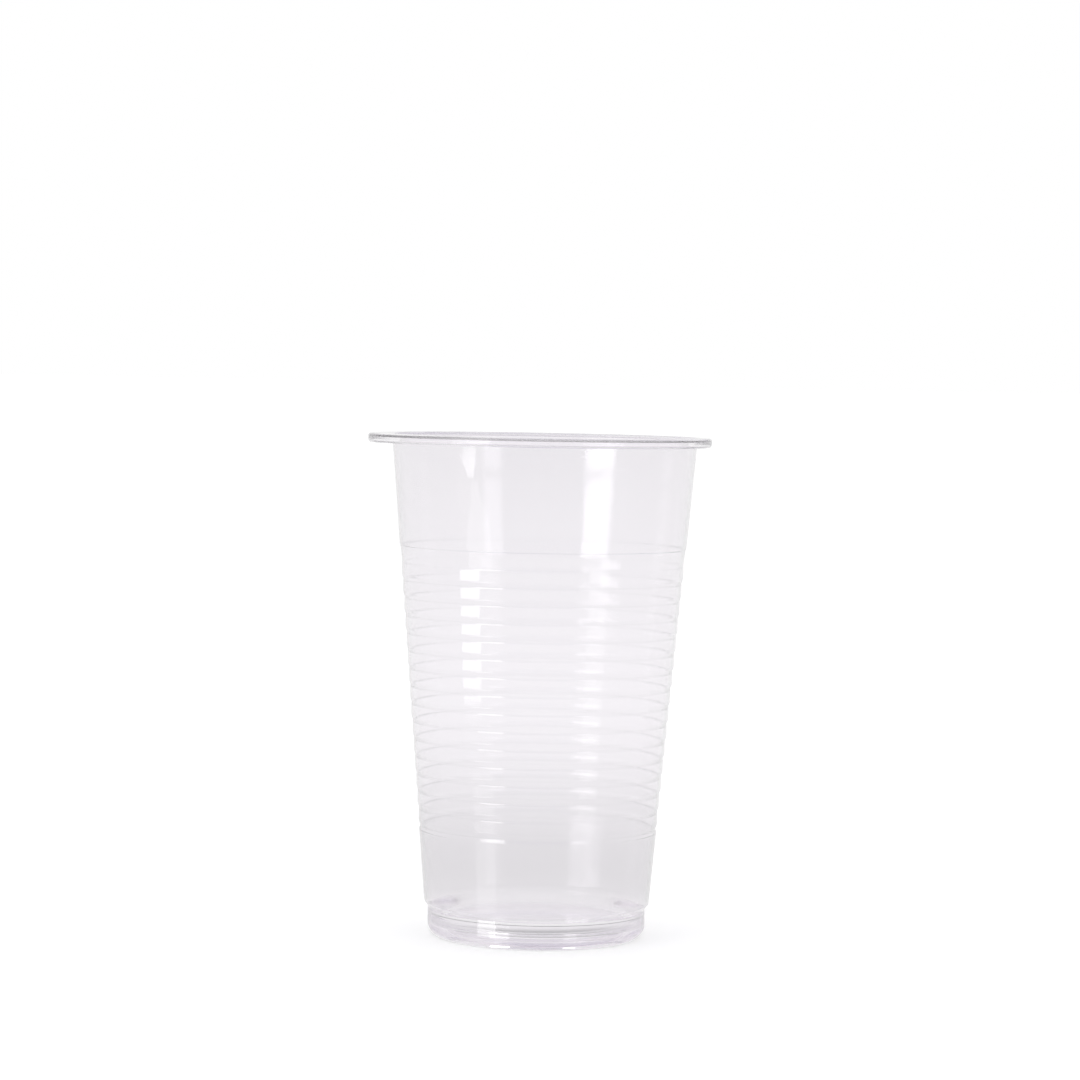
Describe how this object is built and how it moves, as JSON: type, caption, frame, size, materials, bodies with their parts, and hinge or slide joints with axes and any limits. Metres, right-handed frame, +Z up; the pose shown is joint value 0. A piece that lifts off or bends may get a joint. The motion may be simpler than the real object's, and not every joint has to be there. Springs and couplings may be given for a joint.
{
  "type": "reusable cup",
  "caption": "Thin translucent drinking cup with a rolled rim, a stacked-ring wall, smooth bands above and below, and a stepped foot.",
  "frame": {"origin": "centre of the ring the cup stands on, in the plane it stands on", "axes": "+Z up along the cup's axis, from the foot to the open mouth; the cup is round, so +X and +Y are any two level directions"},
  "size_m": [0.078, 0.078, 0.114],
  "materials": {
    "cup": "clear to slightly milky natural polypropylene, glossy, see-through"
  },
  "bodies": {
    "root": {"cup": "cup"}
  },
  "joints": []
}
